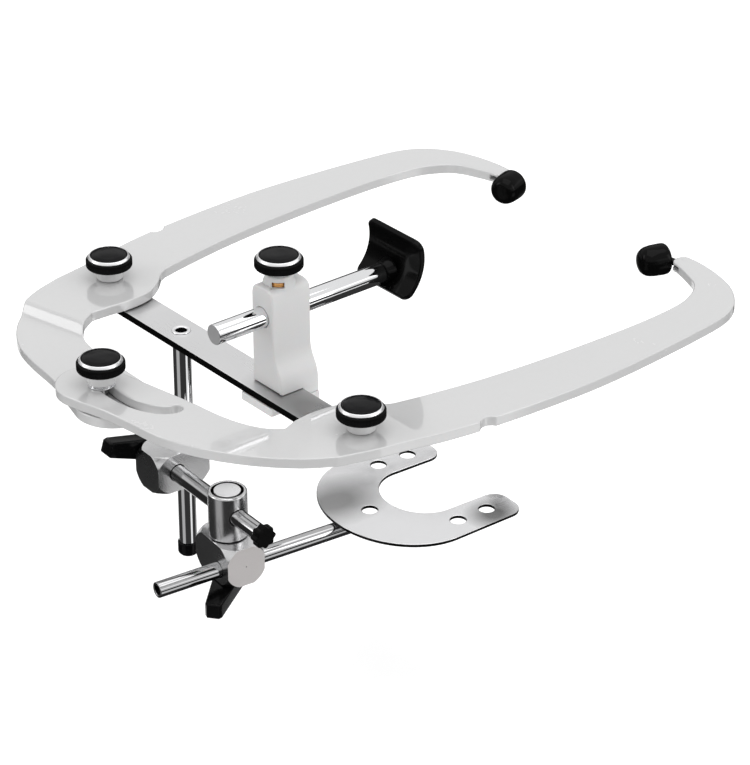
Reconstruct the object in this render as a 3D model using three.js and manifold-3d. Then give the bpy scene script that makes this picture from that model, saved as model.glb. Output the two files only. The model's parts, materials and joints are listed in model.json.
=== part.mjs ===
// Dental facebow with a nasion relator, a transfer jig and a bite fork.
// Millimetres, +Z up. X runs along the crossbar, +Y runs back towards the ears.
// The origin is the middle of the crossbar's top face.
import * as THREE from 'three';
import Module from 'manifold-3d';
import { mergeVertices } from 'three/addons/utils/BufferGeometryUtils.js';

const wasm = await Module();
wasm.setup();

// ---------------------------------------------------------------- driving dimensions

const GAP = 0.3;
const RAD = Math.PI / 180;

const PIVOT_X = 77;
const BAR = { width: 15, thick: 3, end: 7.5 };

const ARM_THICK = 4;
const ARM_BOTTOM = GAP;
const ARM_TOP = ARM_BOTTOM + ARM_THICK;
const ARM_DROP = ARM_THICK + GAP;
const ARM_EDGE = 0.7;
const ARM_HOLE = 2.6;

const STUD = new THREE.Vector2(-8.4, -52);
const SLOT_WIDTH = 5;
const SLOT_OPEN_DEG = 35;
const RIGHT_LOBE = { x: -12, y: -54, r: 13.3 };
const LEFT_LOBE = { x: -3, y: -50, r: 15.5 };

const EAR_PIN = { x: 53.2, y: 181.6, r: 0.9, tipX: 3.1, tipY: 3.9 };
const EAR_SLIT = { low: 1.3, high: 3.3, depth: 5.4 };
const EAR_PLUG = { r: 6.3, length: 12.3, start: 2.8, offset: 7.7, turn: 72 };

const KNOB = { rim: 9, collar: 5.25, bore: 2.4 };
const SCREW_R = 2.1;

const BLOCK = { left: 17.5, right: 29.8, foot: 34.3, front: -2.7, back: 15, shoulder: 36.5, top: 40.4 };
const JAW = { left: 16.4, right: 34.6, front: -BAR.width / 2, thick: 3.6 };
const NECK = { x: 23.5, y: 5.5, top: 44 };
const NASION_ROD = { x: 23.6, z: 28.4, r: 3.9, front: -24.5, back: 51.6 };
const PAD = { width: 30.2, height: 23.8, bow: 4.3, thick: 2.2, tilt: 17, z: 33.1, y: 56.9, corner: 3.6 };

const POST = { x: -30.6, r: 3.5, top: -3.3, bottom: -93.4, capR: 4.1, capEnd: -98.5 };

const CLAMP = { section: 16, disc: 8.8, chamfer: 5.4 };
const JIG_Z = -55.5;
const JIG_TURN = -3;
const JIG_CLAMP = { front: -17.6, back: 5.9 };
const JIG_ROD = { y: -8.8, r: 3.4, start: -5, end: 63.5, knobR: 4.6, knobLength: 4 };

const BARREL = { along: 42.1, r: 7.5, top: -46.7, bottom: -65.5, plugR: 5.5, recessR: 6.2 };
const FORK_TURN = -6.5;
const FORK_CLAMP = { top: -65.9, left: -11.2, right: 13 };
const FORK_ROD = { x: 5.9, z: -76.1, r: 3.1, front: -34.6, back: 55, bore: 2 };
const FORK = { width: 72, inner: 35, length: 64.6, web: 24.8, thick: 1.4, start: 44, hole: 3.2, middle: 30,
  skew: 3 };

const LEVER = { hub: 5.6, tip: 3.3, thick: 6.2, screw: 1.7, gap: 0.4 };
const JIG_LEVER = { length: 30, rise: 17 };
const FORK_LEVER = { length: 26, turn: -45 };

// ---------------------------------------------------------------- materials

function material(colour, roughness, metalness) {
  return new THREE.MeshStandardMaterial({ color: colour, roughness, metalness });
}

const WHITE = material('#dcdcdd', 0.28, 0);
const BLOCK_WHITE = material('#d6d6d6', 0.45, 0);
const COLLAR_WHITE = material('#e8e8e8', 0.35, 0);
const BLACK = material('#0c0c0d', 0.35, 0);
const RUBBER = material('#101011', 0.55, 0);
const CHROME = material('#d5d7da', 0.12, 1);
const STEEL = material('#b4b5b7', 0.32, 1);
const CLAMP_STEEL = material('#a3a4a6', 0.38, 1);
const BRASS = material('#c98f45', 0.3, 1);

// ---------------------------------------------------------------- solids

function toSolid(geometry) {
  const bare = geometry.clone();
  bare.deleteAttribute('normal');
  bare.deleteAttribute('uv');
  const merged = mergeVertices(bare, 1e-4);
  return new wasm.Manifold(new wasm.Mesh({
    numProp: 3,
    vertProperties: new Float32Array(merged.attributes.position.array),
    triVerts: new Uint32Array(merged.index.array),
  }));
}

function toGeometry(solid) {
  const data = solid.getMesh();
  const geometry = new THREE.BufferGeometry();
  geometry.setAttribute('position', new THREE.BufferAttribute(data.vertProperties, 3));
  geometry.setIndex(new THREE.BufferAttribute(data.triVerts, 1));
  return geometry;
}

function cut(body, ...tools) {
  let solid = toSolid(body);
  for (const tool of tools) {
    solid = solid.subtract(toSolid(tool));
  }
  return toGeometry(solid);
}

function join(...bodies) {
  return toGeometry(bodies.map(toSolid).reduce((sum, next) => sum.add(next)));
}

function common(first, second) {
  return toGeometry(toSolid(first).intersect(toSolid(second)));
}

function box(x0, x1, y0, y1, z0, z1) {
  const geometry = new THREE.BoxGeometry(x1 - x0, y1 - y0, z1 - z0);
  return geometry.translate((x0 + x1) / 2, (y0 + y1) / 2, (z0 + z1) / 2);
}

// A round bar along one axis, from one coordinate on that axis to another.
function bar(axis, radius, from, to, sides = 24) {
  const geometry = new THREE.CylinderGeometry(radius, radius, to - from, sides);
  if (axis === 'x') {
    geometry.rotateZ(-Math.PI / 2).translate((from + to) / 2, 0, 0);
  }
  if (axis === 'y') {
    geometry.translate(0, (from + to) / 2, 0);
  }
  if (axis === 'z') {
    geometry.rotateX(Math.PI / 2).translate(0, 0, (from + to) / 2);
  }
  return geometry;
}

// A turned piece: its profile is a list of [radius, height] pairs about +Z.
function turned(profile, sides = 28) {
  const points = profile.map(([r, h]) => new THREE.Vector2(r, h));
  return new THREE.LatheGeometry(points, sides).rotateX(Math.PI / 2);
}

function closed(profile) {
  return [...profile, profile[0]];
}

// Points on an arc, from one angle to another in degrees, both ends included.
function arc(x, y, radiusX, fromDeg, toDeg, steps, radiusY = radiusX) {
  const points = [];
  for (let i = 0; i <= steps; i += 1) {
    const a = (fromDeg + (toDeg - fromDeg) * i / steps) * RAD;
    points.push(new THREE.Vector2(x + radiusX * Math.cos(a), y + radiusY * Math.sin(a)));
  }
  return points;
}

function smooth(points, steps = 3) {
  const spline = new THREE.SplineCurve(points.map(([x, y]) => new THREE.Vector2(x, y)));
  return spline.getPoints(steps * (points.length - 1));
}

// A flat plate with softened edges, between two heights.
function plate(outline, low, high, edge, holes = []) {
  const shape = new THREE.Shape(outline);
  shape.holes = holes.map((points) => new THREE.Path(points));
  const geometry = new THREE.ExtrudeGeometry(shape, {
    depth: high - low - 2 * edge,
    bevelEnabled: edge > 0,
    bevelThickness: edge,
    bevelSize: edge,
    bevelOffset: -edge,
    bevelSegments: edge > 0.6 ? 2 : 1,
  });
  return geometry.translate(0, 0, low + edge);
}

// ---------------------------------------------------------------- assembly tree

const facebow = new THREE.Group();

function group(parent, x = 0, y = 0, z = 0, turnDeg = 0) {
  const node = new THREE.Group();
  node.position.set(x, y, z);
  node.rotation.z = turnDeg * RAD;
  parent.add(node);
  return node;
}

function add(parent, name, geometry, look) {
  const mesh = new THREE.Mesh(geometry, look);
  mesh.name = name;
  parent.add(mesh);
  return mesh;
}

// ---------------------------------------------------------------- arms

// The rear half of an arm, drawn for the right side: pivot, side notch and ear tip.
const NOTCH = { x: 102.4, y: 39.2, r: 4 };
const REAR_OUTER = [[92, -3.5], [94.4, 8], [97.2, 19.4], [99, 29], [99.9, 35.4]];
const REAR_SIDE = [[100.7, 43], [102.2, 60], [103.4, 87], [102.4, 113.5], [99.6, 144.5], [96.8, 162],
  [91.5, 172], [82.5, 179.4], [72.5, 183.3], [61, 185.4], [EAR_PIN.x, EAR_PIN.y + EAR_PIN.tipY]];
const REAR_INNER = [[EAR_PIN.x + 0.6, EAR_PIN.y - EAR_PIN.tipY], [61, 175.4], [70.5, 171], [76.2, 163], [79.2, 153], [80.5, 135],
  [80.2, 112], [78.8, 85], [76.2, 58], [72.6, 36], [69.4, 21]];
const PIVOT_LOBE = [[67.6, 17.6], [62.3, 12.2], [57.6, 4.6], [56.2, -5.4], [56.9, -14]];

function rearHalf() {
  const notch = arc(NOTCH.x, NOTCH.y, NOTCH.r, -125, -235, 6);
  const tip = arc(EAR_PIN.x, EAR_PIN.y, EAR_PIN.tipX, 105, 260, 8, EAR_PIN.tipY);
  return [...smooth(REAR_OUTER, 2), ...notch, ...smooth(REAR_SIDE), ...tip, ...smooth(REAR_INNER),
    ...smooth(PIVOT_LOBE)];
}

function rightOutline() {
  const front = smooth([[59.3, -20.5], [54.8, -25.6], [47, -29.8], [37, -32.6], [21.7, -34.8],
    [5, -38], [-9.6, -40.9]]);
  const lobe = arc(RIGHT_LOBE.x, RIGHT_LOBE.y, RIGHT_LOBE.r, 84, 278, 18);
  const outer = smooth([[-3, -65.7], [8, -62.6], [22, -60.4], [37, -58.2], [52, -52.3], [67.5, -42],
    [80, -29.8], [87.4, -18.5]]);
  return [...rearHalf(), ...front, ...lobe, ...outer];
}

function leftOutline() {
  const front = smooth([[-57.3, -22], [-51.8, -30], [-45, -33.2], [-34, -34.3], [-18, -34.4]]);
  const lobe = arc(LEFT_LOBE.x, LEFT_LOBE.y, LEFT_LOBE.r, 96, -102, 18);
  const outer = smooth([[-18, -62], [-30, -59], [-46, -57], [-57.5, -54.6], [-65.8, -51],
    [-74, -45.2], [-81, -37.4], [-86, -28], [-89.6, -16.5]]);
  const rear = rearHalf().map((p) => new THREE.Vector2(-p.x, p.y));
  return [...rear, ...front, ...lobe, ...outer].reverse();
}

// The path the stud takes through the right arm as both arms open by the same angle.
function slotPoint(deg) {
  const left = new THREE.Vector2(-PIVOT_X, 0);
  const right = new THREE.Vector2(PIVOT_X, 0);
  return STUD.clone().rotateAround(left, deg * RAD).rotateAround(right, deg * RAD);
}

function slotOutline() {
  const steps = 14;
  const upper = [];
  const lower = [];
  for (let i = 0; i <= steps; i += 1) {
    const deg = SLOT_OPEN_DEG * i / steps;
    const here = slotPoint(deg);
    const along = slotPoint(deg + 0.5).sub(slotPoint(deg - 0.5)).normalize();
    const side = new THREE.Vector2(-along.y, along.x).multiplyScalar(SLOT_WIDTH / 2);
    upper.push(here.clone().add(side));
    lower.push(here.clone().sub(side));
  }
  const first = slotPoint(0);
  const last = slotPoint(SLOT_OPEN_DEG);
  const startDeg = upper[0].clone().sub(first).angle() / RAD;
  const endDeg = lower[steps].clone().sub(last).angle() / RAD;
  const start = arc(first.x, first.y, SLOT_WIDTH / 2, startDeg, startDeg + 180, 8);
  const end = arc(last.x, last.y, SLOT_WIDTH / 2, endDeg, endDeg + 180, 8);
  return [...lower.slice(1, -1), ...end, ...upper.slice(1, -1).reverse(), ...start];
}

// The slit in an ear tip that takes the plug's flat eye, and the hole for its pin.
function earCuts(side) {
  const depth = EAR_SLIT.depth / 2;
  const slit = box(-depth - 1, depth, -8, 8, EAR_SLIT.low, EAR_SLIT.high);
  if (side < 0) {
    slit.rotateZ(Math.PI);
  }
  const hole = bar('z', EAR_PIN.r + 0.1, -1, 6, 16);
  return [slit, hole].map((tool) => tool.translate(side * EAR_PIN.x, EAR_PIN.y, 0));
}

function pivotCut(side) {
  return bar('z', ARM_HOLE, -10, 10).translate(side * PIVOT_X, 0, 0);
}

// The left arm steps down by one thickness in front of its pivot, so that its end lies under the
// right arm. The step runs along a line across the arm.
const STEP = { x: -69, y: -32.2, turn: 14, run: 6 };

function leftArm() {
  const outline = leftOutline();
  const far = 300;
  const upper = plate(outline, ARM_BOTTOM, ARM_TOP, ARM_EDGE);
  const lower = plate(outline, ARM_BOTTOM - ARM_DROP, ARM_TOP - ARM_DROP, ARM_EDGE);
  const ramp = new THREE.Shape([
    new THREE.Vector2(0.01, ARM_BOTTOM),
    new THREE.Vector2(0.01, ARM_TOP),
    new THREE.Vector2(-STEP.run - 0.01, ARM_TOP - ARM_DROP),
    new THREE.Vector2(-STEP.run - 0.01, ARM_BOTTOM - ARM_DROP),
  ]);
  const slope = new THREE.ExtrudeGeometry(ramp, { depth: 2 * far, bevelEnabled: false });
  slope.rotateX(Math.PI / 2).rotateZ(Math.PI / 2).translate(-far, 0, 0);
  const behind = box(-far, far, 0, far, -20, 20);
  const ahead = box(-far, far, -far, -STEP.run, -20, 20);
  for (const tool of [slope, behind, ahead]) {
    tool.rotateZ(STEP.turn * RAD).translate(STEP.x, STEP.y, 0);
  }
  const column = plate(outline, -10, 10, 0);
  const body = join(common(upper, behind), common(lower, ahead), common(column, slope));
  const studHole = bar('z', SCREW_R + 0.2, -10, 10).translate(STUD.x, STUD.y, 0);
  return cut(body, pivotCut(-1), studHole, ...earCuts(-1));
}

function rightArm() {
  const body = plate(rightOutline(), ARM_BOTTOM, ARM_TOP, ARM_EDGE, [slotOutline()]);
  return cut(body, pivotCut(1), ...earCuts(1));
}

add(facebow, 'left_arm', leftArm(), WHITE);
add(facebow, 'right_arm', rightArm(), WHITE);

// ---------------------------------------------------------------- ear plugs

// A soft plug on a flat arm, which ends in an eye on the vertical pin in the slit of the arm's tip.
// The plug stands to one side of the pin, so that it folds against the tip.
function earPlug(side) {
  const { r, length, start, offset } = EAR_PLUG;
  const plug = turned([[0, start], [r - 1.2, start], [r - 0.3, start + 0.7], [r, start + 2.2],
    [r - 0.1, start + length - 5.4], [r - 0.7, start + length - 2.8], [r - 2.4, start + length - 0.9],
    [r - 4.2, start + length - 0.15], [0, start + length]]);
  plug.rotateX(-Math.PI / 2).translate(side * offset, 0, 0);
  const middle = (EAR_SLIT.low + EAR_SLIT.high) / 2;
  const half = (EAR_SLIT.high - EAR_SLIT.low) / 2 - 0.2;
  const lean = Math.atan2(start + 1, offset);
  const link = box(0, offset + 1, -1.5, 1.5, -half, half).rotateZ(side > 0 ? lean : Math.PI - lean);
  const eye = bar('z', 2.3, -half, half, 20);
  const hole = bar('z', EAR_PIN.r + 0.1, -3, 3, 16);
  return cut(join(plug, link, eye), hole).translate(0, 0, middle);
}

for (const [name, side] of [['left', -1], ['right', 1]]) {
  const tip = group(facebow, side * EAR_PIN.x, EAR_PIN.y, 0);
  const pin = turned([[0, ARM_BOTTOM], [EAR_PIN.r, ARM_BOTTOM], [EAR_PIN.r, ARM_TOP], [0, ARM_TOP]], 16);
  add(tip, `${name}_ear_pin`, pin, STEEL);
  const plug = group(tip, 0, 0, 0, side * (90 + EAR_PLUG.turn));
  add(plug, `${name}_ear_plug`, earPlug(side), RUBBER);
}

// ---------------------------------------------------------------- crossbar and post

function crossbar() {
  const half = PIVOT_X;
  const outline = [...arc(half, 0, BAR.end, -90, 90, 12), ...arc(-half, 0, BAR.end, 90, 270, 12)];
  const body = plate(outline, -BAR.thick, 0, 0.25);
  const holes = [-1, 1].map((side) => bar('z', SCREW_R + 0.2, -5, 2).translate(side * PIVOT_X, 0, 0));
  const socket = bar('z', 3.2, -5, 2).translate(POST.x, 0, 0);
  return cut(body, ...holes, socket);
}

add(facebow, 'crossbar', crossbar(), STEEL);

// The rivet bush that holds the post in the bar, with its bright rim just proud of the top.
const post = group(facebow, POST.x, 0, 0);
const bush = closed([[2.15, -BAR.thick], [3.05, -BAR.thick], [3.05, 0], [3.7, 0.1], [3.6, 0.4], [2.4, 0.4],
  [2.15, 0.1]]);
add(post, 'post_bush', turned(bush, 24), CHROME);
const shaft = turned([[0, POST.bottom], [POST.r, POST.bottom], [POST.r, POST.top], [1.9, POST.top],
  [1.9, -1.6], [0, -1.6]], 32);
add(post, 'post', shaft, CHROME);
const cap = turned([[0, POST.capEnd], [3.3, POST.capEnd], [POST.capR, POST.capEnd + 0.9],
  [POST.capR, POST.bottom + 0.6], [POST.r + 0.1, POST.bottom + 0.6], [POST.r + 0.1, POST.bottom - 0.2],
  [0, POST.bottom - 0.2]]);
add(post, 'post_cap', cap, BLACK);

// ---------------------------------------------------------------- clamp knobs

// A knurled thumb knob: a plain collar, the rim, a bright chamfered ring and a domed cap.
// Its height is counted from the face that the screw comes out of.
function knob(parent, prefix, collarLow) {
  const collar = closed([[KNOB.bore, collarLow], [KNOB.collar - 0.4, collarLow],
    [KNOB.collar, collarLow + 0.4], [KNOB.collar, 4.4], [KNOB.collar + 0.9, 5.1], [KNOB.bore, 5.1]]);
  add(parent, `${prefix}_knob_collar`, turned(collar), COLLAR_WHITE);
  const rim = closed([[KNOB.bore, 5.2], [8.5, 5.2], [KNOB.rim, 5.7], [KNOB.rim, 8.1], [8.35, 8.75],
    [KNOB.bore, 8.75]]);
  add(parent, `${prefix}_knob_rim`, turned(rim, 36), BLACK);
  const ring = closed([[7.3, 8.85], [8.2, 8.85], [8.1, 9.1], [7.5, 9.95], [7.3, 9.95]]);
  add(parent, `${prefix}_knob_ring`, turned(ring, 36), CHROME);
  const button = [[0, 8.85], [7.15, 8.85], [7.15, 9.85], [6.8, 10.15], [4.6, 10.5], [0, 10.7]];
  add(parent, `${prefix}_knob_cap`, turned(button, 36), BLACK);
}

function screw(headR, headLow, headHigh, top) {
  return turned([[0, headLow], [headR - 0.4, headLow], [headR, headLow + 0.4], [headR, headHigh],
    [SCREW_R, headHigh], [SCREW_R, top], [0, top]], 20);
}

for (const [name, side] of [['left', -1], ['right', 1]]) {
  const pivot = group(facebow, side * PIVOT_X, 0, 0);
  add(pivot, `${name}_pivot_screw`, screw(4.4, -5.2, -BAR.thick - 0.2, ARM_TOP + 8.6), STEEL);
  knob(group(pivot, 0, 0, ARM_TOP), `${name}_pivot`, 0.2);
}

// The lock stud stands in the left arm's end and slides in the right arm's curved slot.
const lock = group(facebow, STUD.x, STUD.y, 0);
const studHead = ARM_BOTTOM - ARM_DROP - 0.2;
add(lock, 'lock_stud', screw(4.4, studHead - 2, studHead, ARM_TOP + 9.8), STEEL);
for (const [name, low, radius] of [['lower', 0.15, 5.1], ['upper', 0.65, 4.7]]) {
  const washer = closed([[SCREW_R + 0.2, low], [radius, low], [radius, low + 0.4], [SCREW_R + 0.2, low + 0.4]]);
  add(lock, `lock_washer_${name}`, turned(washer).translate(0, 0, ARM_TOP), CHROME);
}
knob(group(lock, 0, 0, ARM_TOP + 1.2), 'lock', 0);

// ---------------------------------------------------------------- nasion relator

// A flared tower that hooks over the bar from behind. The rod goes through it from front to back.
function nasionBlock() {
  const { left, right, foot, front, back, shoulder, top } = BLOCK;
  const outline = [
    ...smooth([[right, shoulder], [right - 0.9, top - 1.6], [right - 3.2, top]], 3),
    ...smooth([[left + 3.2, top], [left + 0.9, top - 1.6], [left, shoulder]], 3),
    new THREE.Vector2(left, GAP),
    new THREE.Vector2(foot, GAP),
    ...smooth([[foot, 3], [foot - 0.9, 6.5], [right + 0.7, 12], [right, 18]], 3),
  ];
  const tower = plate(outline.reverse(), 0, back - front, 0.9);
  tower.rotateX(Math.PI / 2).translate(0, back, 0);
  const leg = box(left, foot, BAR.width / 2 + GAP, back, -BAR.thick - GAP, 2);
  const neck = turned([[0, 30], [6, 30], [6, top], [KNOB.collar, 42.4], [KNOB.collar, NECK.top], [0, NECK.top]]);
  neck.translate(NECK.x, NECK.y, 0);
  const rodHole = bar('y', NASION_ROD.r + 0.2, -10, 30, 32).translate(NASION_ROD.x, 0, NASION_ROD.z);
  const screwHole = bar('z', SCREW_R + 0.2, 29, 50).translate(NECK.x, NECK.y, 0);
  const insertHole = bar('z', 4.7, 38.2, 42.3).translate(NECK.x, NECK.y, 0);
  const window = box(0, 12, -2.3, 2.3, 40.1, 42.2).rotateZ(-42 * RAD).translate(NECK.x, NECK.y, 0);
  const legHoles = jawScrewPlaces().map(([x, y]) => bar('z', 1.3, -6, 1.2, 16).translate(x, y, 0));
  return cut(join(tower, leg, neck), rodHole, screwHole, insertHole, window, ...legHoles);
}

function jawScrewPlaces() {
  const y = (BAR.width / 2 + GAP + BLOCK.back) / 2;
  return [[BLOCK.left + 4, y], [BLOCK.foot - 4, y]];
}

function nasionJaw() {
  const top = -BAR.thick - GAP;
  const body = plate([
    new THREE.Vector2(JAW.left, JAW.front),
    new THREE.Vector2(JAW.right, JAW.front),
    new THREE.Vector2(JAW.right, BLOCK.back),
    new THREE.Vector2(JAW.left, BLOCK.back),
  ], top - JAW.thick, top - 0.1, 0.4);
  const holes = jawScrewPlaces().map(([x, y]) => bar('z', 1.4, -9, 0, 16).translate(x, y, 0));
  const sinks = jawScrewPlaces().map(([x, y]) => bar('z', 2.7, -9, top - 1.8, 20).translate(x, y, 0));
  return cut(body, ...holes, ...sinks);
}

add(facebow, 'nasion_block', nasionBlock(), BLOCK_WHITE);
add(facebow, 'nasion_jaw', nasionJaw(), BLOCK_WHITE);
jawScrewPlaces().forEach(([x, y], index) => {
  const low = -BAR.thick - GAP - JAW.thick + 0.2;
  const jawScrew = turned([[0, low], [2.4, low], [2.4, low + 1.4], [1.2, low + 1.4], [1.2, 1], [0, 1]], 20);
  add(group(facebow, x, y), `jaw_screw_${index + 1}`, jawScrew, STEEL);
});

const neck = group(facebow, NECK.x, NECK.y, 0);
const insert = closed([[SCREW_R + 0.15, 38.5], [4.5, 38.5], [4.5, 42], [SCREW_R + 0.15, 42]]);
add(neck, 'nasion_thread_insert', turned(insert, 24), BRASS);
const clampTip = NASION_ROD.z + NASION_ROD.r + 0.3;
add(neck, 'nasion_screw', turned([[0, clampTip], [SCREW_R, clampTip], [SCREW_R, 49.6], [0, 49.6]], 20), STEEL);
knob(group(neck, 0, 0, 41.1), 'nasion', NECK.top + 0.2 - 41.1);

const nasion = group(facebow, NASION_ROD.x, 0, NASION_ROD.z);
const nasionRod = turned([[0, NASION_ROD.front], [NASION_ROD.r - 0.5, NASION_ROD.front],
  [NASION_ROD.r, NASION_ROD.front + 0.5], [NASION_ROD.r, NASION_ROD.back], [0, NASION_ROD.back]], 36);
add(nasion, 'nasion_rod', nasionRod.rotateX(-Math.PI / 2), CHROME);

// A saddle bowed towards the bridge of the nose, leaning back at the top, on a short hub.
function nasionPad() {
  const radius = ((PAD.height / 2) ** 2 + PAD.bow ** 2) / (2 * PAD.bow);
  const spread = Math.asin(PAD.height / 2 / radius) / RAD;
  const section = [...arc(0, 0, radius, -spread - 6, spread + 6, 16),
    ...arc(0, 0, radius - PAD.thick, spread + 6, -spread - 6, 16)];
  const shell = plate(section, -PAD.width / 2 - 2, PAD.width / 2 + 2, 0);
  shell.rotateX(Math.PI / 2).rotateZ(Math.PI / 2).translate(0, PAD.bow - radius, 0);
  const c = PAD.corner;
  const w = PAD.width / 2;
  const h = PAD.height / 2;
  const frame = [...arc(w - c, h - c, c, 0, 90, 6), ...arc(c - w, h - c, c, 90, 180, 6),
    ...arc(c - w, c - h, c, 180, 270, 6), ...arc(w - c, c - h, c, 270, 360, 6)];
  const column = plate(frame, -12, 12, 0).rotateX(Math.PI / 2);
  const saddle = common(shell, column).rotateX(-PAD.tilt * RAD);
  saddle.translate(0, PAD.y, PAD.z - NASION_ROD.z);
  const start = NASION_ROD.back + 0.3;
  const hub = turned([[0, start], [4.1, start], [4.3, start + 1.4], [5.4, start + 5.4], [0, start + 5.4]]);
  hub.rotateX(-Math.PI / 2);
  return join(saddle, hub);
}

add(nasion, 'nasion_pad', nasionPad(), RUBBER);

// ---------------------------------------------------------------- transfer jig

// A square steel bar turned down at both ends, lying along X with its middle height at zero.
function clampBody(left, right) {
  const half = CLAMP.section / 2;
  const full = half * Math.SQRT2 + 0.1;
  const { disc, chamfer } = CLAMP;
  const turn = (end, way) => [
    [disc, end],
    [(disc * 2 + full) / 3 + 0.25, end + way * chamfer * 0.28],
    [(disc + full * 2) / 3 + 0.2, end + way * chamfer * 0.6],
    [full, end + way * chamfer],
  ];
  const profile = [[0, left], ...turn(left, 1), ...turn(right, -1).reverse(), [0, right]];
  const round = turned(profile, 40).rotateY(Math.PI / 2);
  return common(box(left, right, -half, half, -half, half), round);
}

// A black wing lever on a screw along X. The wing points along -Z and tapers to its tip.
function lever(length) {
  const { hub, tip, thick, screw } = LEVER;
  const outline = [...arc(0, 0, hub, 0, 180, 10), new THREE.Vector2(-tip - 0.4, 2.6 - length),
    new THREE.Vector2(1.4 - tip, -length), new THREE.Vector2(tip - 1.4, -length),
    new THREE.Vector2(tip + 0.4, 2.6 - length)];
  const wing = plate(outline, 0, thick, 1.1);
  wing.rotateX(Math.PI / 2).rotateZ(Math.PI / 2);
  return cut(wing, bar('x', screw + 0.2, 1.6, thick + 1, 20));
}

const jig = group(facebow, POST.x, 0, JIG_Z, JIG_TURN);

function jigClamp() {
  const body = clampBody(-JIG_CLAMP.back, -JIG_CLAMP.front).rotateZ(-Math.PI / 2);
  const postHole = bar('z', POST.r + 0.2, -20, 20, 32);
  const rodHole = bar('x', JIG_ROD.r + 0.2, JIG_ROD.start - 0.4, 20, 32).translate(0, JIG_ROD.y, 0);
  const screwHole = bar('x', LEVER.screw + 0.2, -20, 0, 20);
  return cut(body, postHole, rodHole, screwHole);
}

add(jig, 'jig_clamp', jigClamp(), CLAMP_STEEL);
const jigHub = group(jig, -CLAMP.section / 2 - LEVER.gap - LEVER.thick, 0, 0);
add(jigHub, 'jig_clamp_lever', lever(JIG_LEVER.length), BLACK).rotation.x = -(90 + JIG_LEVER.rise) * RAD;
const toPost = CLAMP.section / 2 + LEVER.gap + LEVER.thick - POST.r - GAP;
add(jigHub, 'jig_clamp_screw', bar('x', LEVER.screw, 2, toPost, 20), STEEL);

const jigRod = bar('x', JIG_ROD.r, JIG_ROD.start, JIG_ROD.end - 0.2, 36);
add(jig, 'jig_rod', jigRod, CHROME).position.y = JIG_ROD.y;

function lobedKnob() {
  const lobes = 8;
  const steps = 48;
  const outline = [];
  for (let i = 0; i < steps; i += 1) {
    const a = 2 * Math.PI * i / steps;
    const r = JIG_ROD.knobR - 0.35 + 0.35 * Math.cos(lobes * a);
    outline.push(new THREE.Vector2(r * Math.cos(a), r * Math.sin(a)));
  }
  return plate(outline, 0, JIG_ROD.knobLength, 0.5).rotateY(Math.PI / 2);
}

add(jig, 'jig_rod_knob', lobedKnob(), BLACK).position.set(JIG_ROD.end, JIG_ROD.y, 0);

// The barrel slides along the jig rod. The fork's clamp hangs from it on a short pin.
const barrel = group(jig, BARREL.along, JIG_ROD.y, -JIG_Z);

function barrelBody() {
  const { r, top, bottom, recessR } = BARREL;
  const body = turned([[0, bottom], [r - 0.5, bottom], [r, bottom + 0.5], [r, top - 0.5], [r - 0.5, top],
    [recessR, top], [recessR, top - 2.4], [0, top - 2.4]], 40);
  const rodHole = bar('x', JIG_ROD.r + 0.2, -20, 20, 32).translate(0, 0, JIG_Z);
  const pinHole = bar('z', 2.7, bottom - 2, bottom + 5, 20);
  return cut(body, rodHole, pinHole);
}

add(barrel, 'barrel', barrelBody(), CLAMP_STEEL);
const plug = turned([[0, BARREL.top - 2.2], [BARREL.plugR, BARREL.top - 2.2], [BARREL.plugR, BARREL.top - 0.3],
  [BARREL.plugR - 0.3, BARREL.top], [0, BARREL.top]], 36);
add(barrel, 'barrel_plug', plug, CHROME);

// ---------------------------------------------------------------- bite fork

const fork = group(barrel, 0, 0, 0, FORK_TURN - JIG_TURN);
const clampZ = FORK_CLAMP.top - CLAMP.section / 2;
const PIN_END = FORK_CLAMP.top - 3.5;

function forkClamp() {
  const body = clampBody(FORK_CLAMP.left, FORK_CLAMP.right).translate(0, 0, clampZ);
  const rodHole = bar('y', FORK_ROD.r + 0.2, -20, 20, 32).translate(FORK_ROD.x, 0, FORK_ROD.z);
  const pinHole = bar('z', 2.5, FORK_CLAMP.top - 3.6, FORK_CLAMP.top + 2, 20);
  const screwHole = bar('z', LEVER.screw + 0.2, FORK_CLAMP.top - 30, FORK_CLAMP.top - 3, 20);
  return cut(body, rodHole, pinHole, screwHole);
}

add(fork, 'fork_clamp', forkClamp(), CLAMP_STEEL);
add(fork, 'swivel_pin', bar('z', 2.4, PIN_END, BARREL.bottom + 4.5, 20), STEEL);
const forkHub = group(fork, 0, 0, FORK_CLAMP.top - CLAMP.section - LEVER.gap - LEVER.thick);
forkHub.rotation.y = -Math.PI / 2;
add(forkHub, 'fork_clamp_lever', lever(FORK_LEVER.length), BLACK).rotation.x = FORK_LEVER.turn * RAD;
const toPin = PIN_END - GAP - forkHub.position.z;
add(forkHub, 'fork_clamp_screw', bar('x', LEVER.screw, 2, toPin, 20), STEEL);

function forkRod() {
  const { r, front, back, bore } = FORK_ROD;
  return turned([[0, front + 9], [bore, front + 9], [bore, front], [r - 0.4, front], [r, front + 0.4],
    [r, back], [0, back]], 36).rotateX(-Math.PI / 2);
}

const stem = group(fork, FORK_ROD.x, 0, FORK_ROD.z);
add(stem, 'fork_rod', forkRod(), CHROME);

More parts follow.
